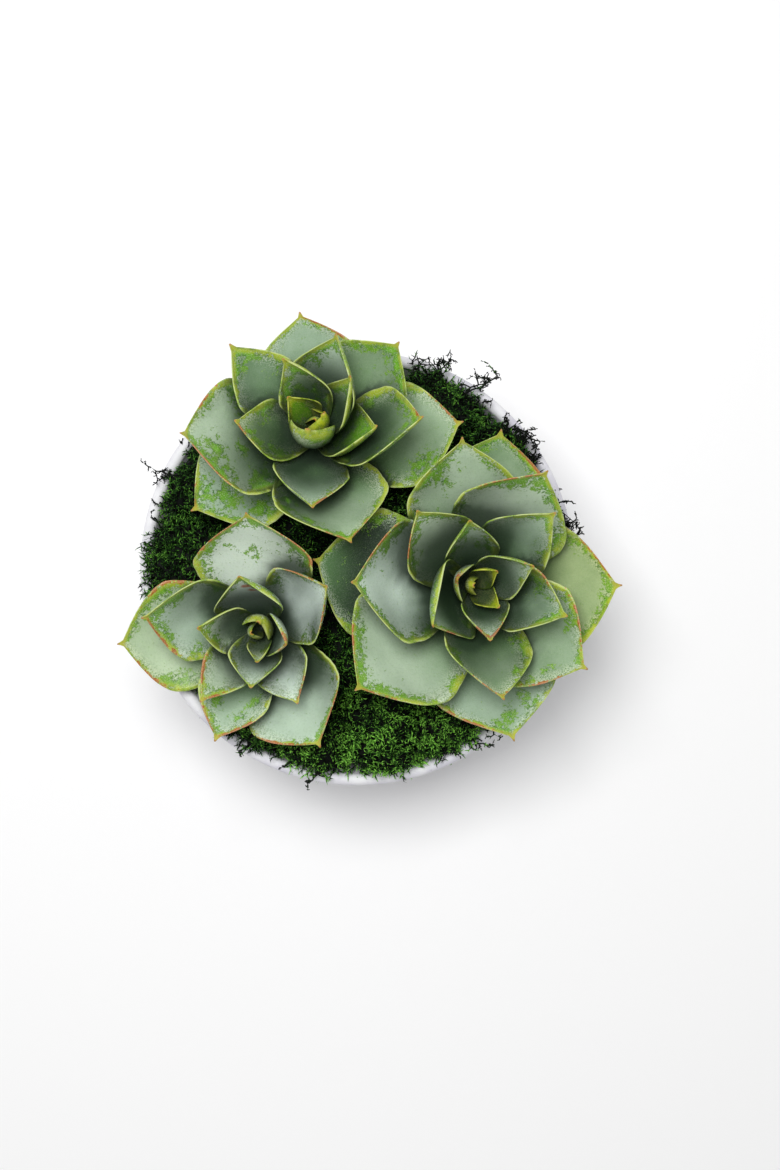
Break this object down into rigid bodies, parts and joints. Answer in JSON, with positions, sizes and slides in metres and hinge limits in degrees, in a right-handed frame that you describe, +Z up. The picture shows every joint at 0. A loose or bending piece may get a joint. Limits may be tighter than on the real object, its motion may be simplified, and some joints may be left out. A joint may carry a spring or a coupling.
{
  "type": "succulent dish garden",
  "caption": "Round white bowl of soil planted with leafy echeveria-like rosettes of pale grey-green pointed leaves, the soil packed with dark green branching moss",
  "frame": {"origin": "centre of the bowl's flat underside, on the surface that it stands on", "axes": "+Z up out of the bowl, +Y towards the back rosette, +X towards the right rosette, as seen from above with the back rosette at the top"},
  "size_m": [0.227, 0.2161, 0.1191],
  "materials": {
    "bowl": "matte",
    "soil": "matte",
    "stem": "matte",
    "leaf": "satin",
    "moss": "matte"
  },
  "bodies": {
    "root": {"bowl": "bowl", "soil": "soil", "stem_back": "stem", "stem_right": "stem", "stem_left": "stem", "rosette_back": "leaf", "rosette_right": "leaf", "rosette_left": "leaf", "moss_01": "moss", "moss_02": "moss", "moss_03": "moss", "moss_04": "moss", "moss_05": "moss", "moss_06": "moss", "moss_07": "moss", "moss_08": "moss", "moss_09": "moss", "moss_10": "moss", "moss_11": "moss", "moss_12": "moss", "moss_13": "moss", "moss_14": "moss", "moss_15": "moss", "moss_16": "moss", "moss_17": "moss"}
  },
  "joints": []
}
